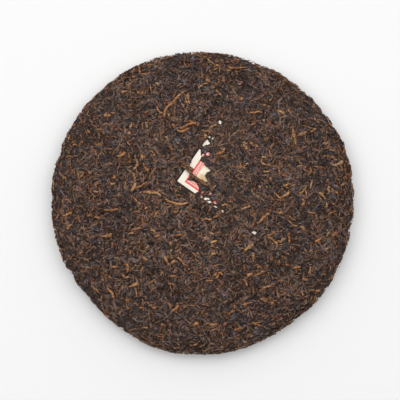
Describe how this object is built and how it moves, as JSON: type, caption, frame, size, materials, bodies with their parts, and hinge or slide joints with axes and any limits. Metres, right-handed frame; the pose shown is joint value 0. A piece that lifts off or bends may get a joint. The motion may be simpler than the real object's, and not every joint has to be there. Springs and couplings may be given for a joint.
{
  "type": "pu erh tea cake",
  "caption": "Round pressed cake of ripe pu erh tea with a domed face of wiry leaves, a paper ticket sunk under the leaf and a dimpled back.",
  "frame": {"origin": "on the cake's axis, at the level that the flattened back rests on", "axes": "+Z out of the domed face, +Y towards the top of the face as the picture shows it, +X to the right"},
  "size_m": [0.1996, 0.2004, 0.0234],
  "materials": {
    "pressed_tea": "matte",
    "ticket_paper": "matte"
  },
  "bodies": {
    "root": {"cake": "pressed_tea", "ticket": "ticket_paper"}
  },
  "joints": []
}
